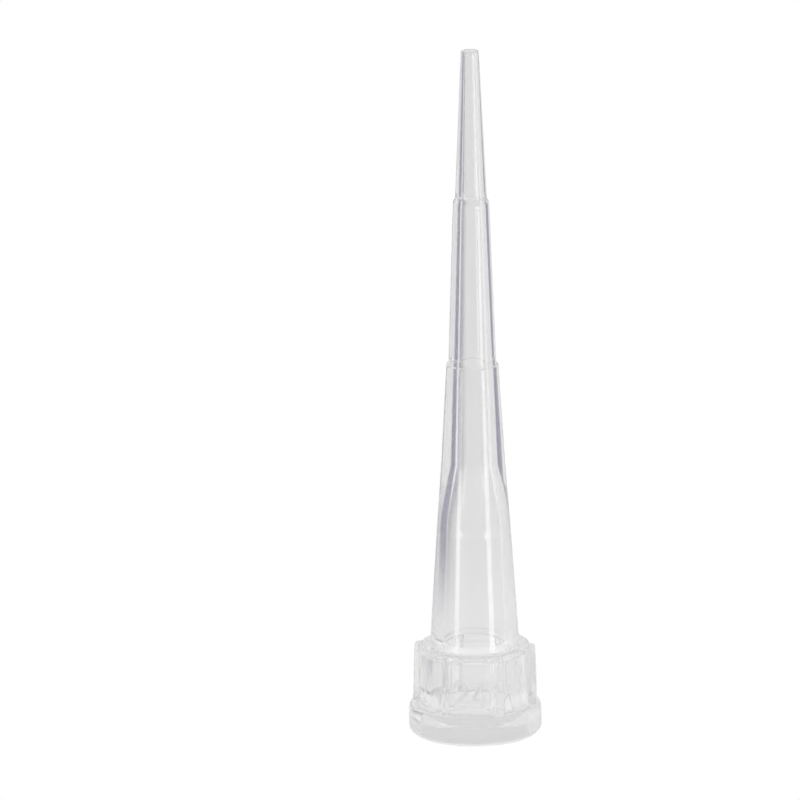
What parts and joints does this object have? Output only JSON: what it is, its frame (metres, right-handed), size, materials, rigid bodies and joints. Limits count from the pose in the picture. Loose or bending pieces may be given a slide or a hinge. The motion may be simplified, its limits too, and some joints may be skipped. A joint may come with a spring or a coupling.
{
  "type": "pipette tip",
  "caption": "Clear conical pipette tip with a ribbed, flanged collar, a tapered socket for the nozzle, two stepped filling marks and a fine open end.",
  "frame": {"origin": "centre of the open mouth, in the plane of its flat rim", "axes": "+Z along the tip's axis, from the mouth to the fine end; -Y through the middle of a panel between two ribs"},
  "size_m": [0.006, 0.006, 0.032],
  "materials": {
    "tip_body": "clear polypropylene, smooth and glossy, with faint moulding haze"
  },
  "bodies": {
    "root": {"tip_body": "tip_body"}
  },
  "joints": []
}
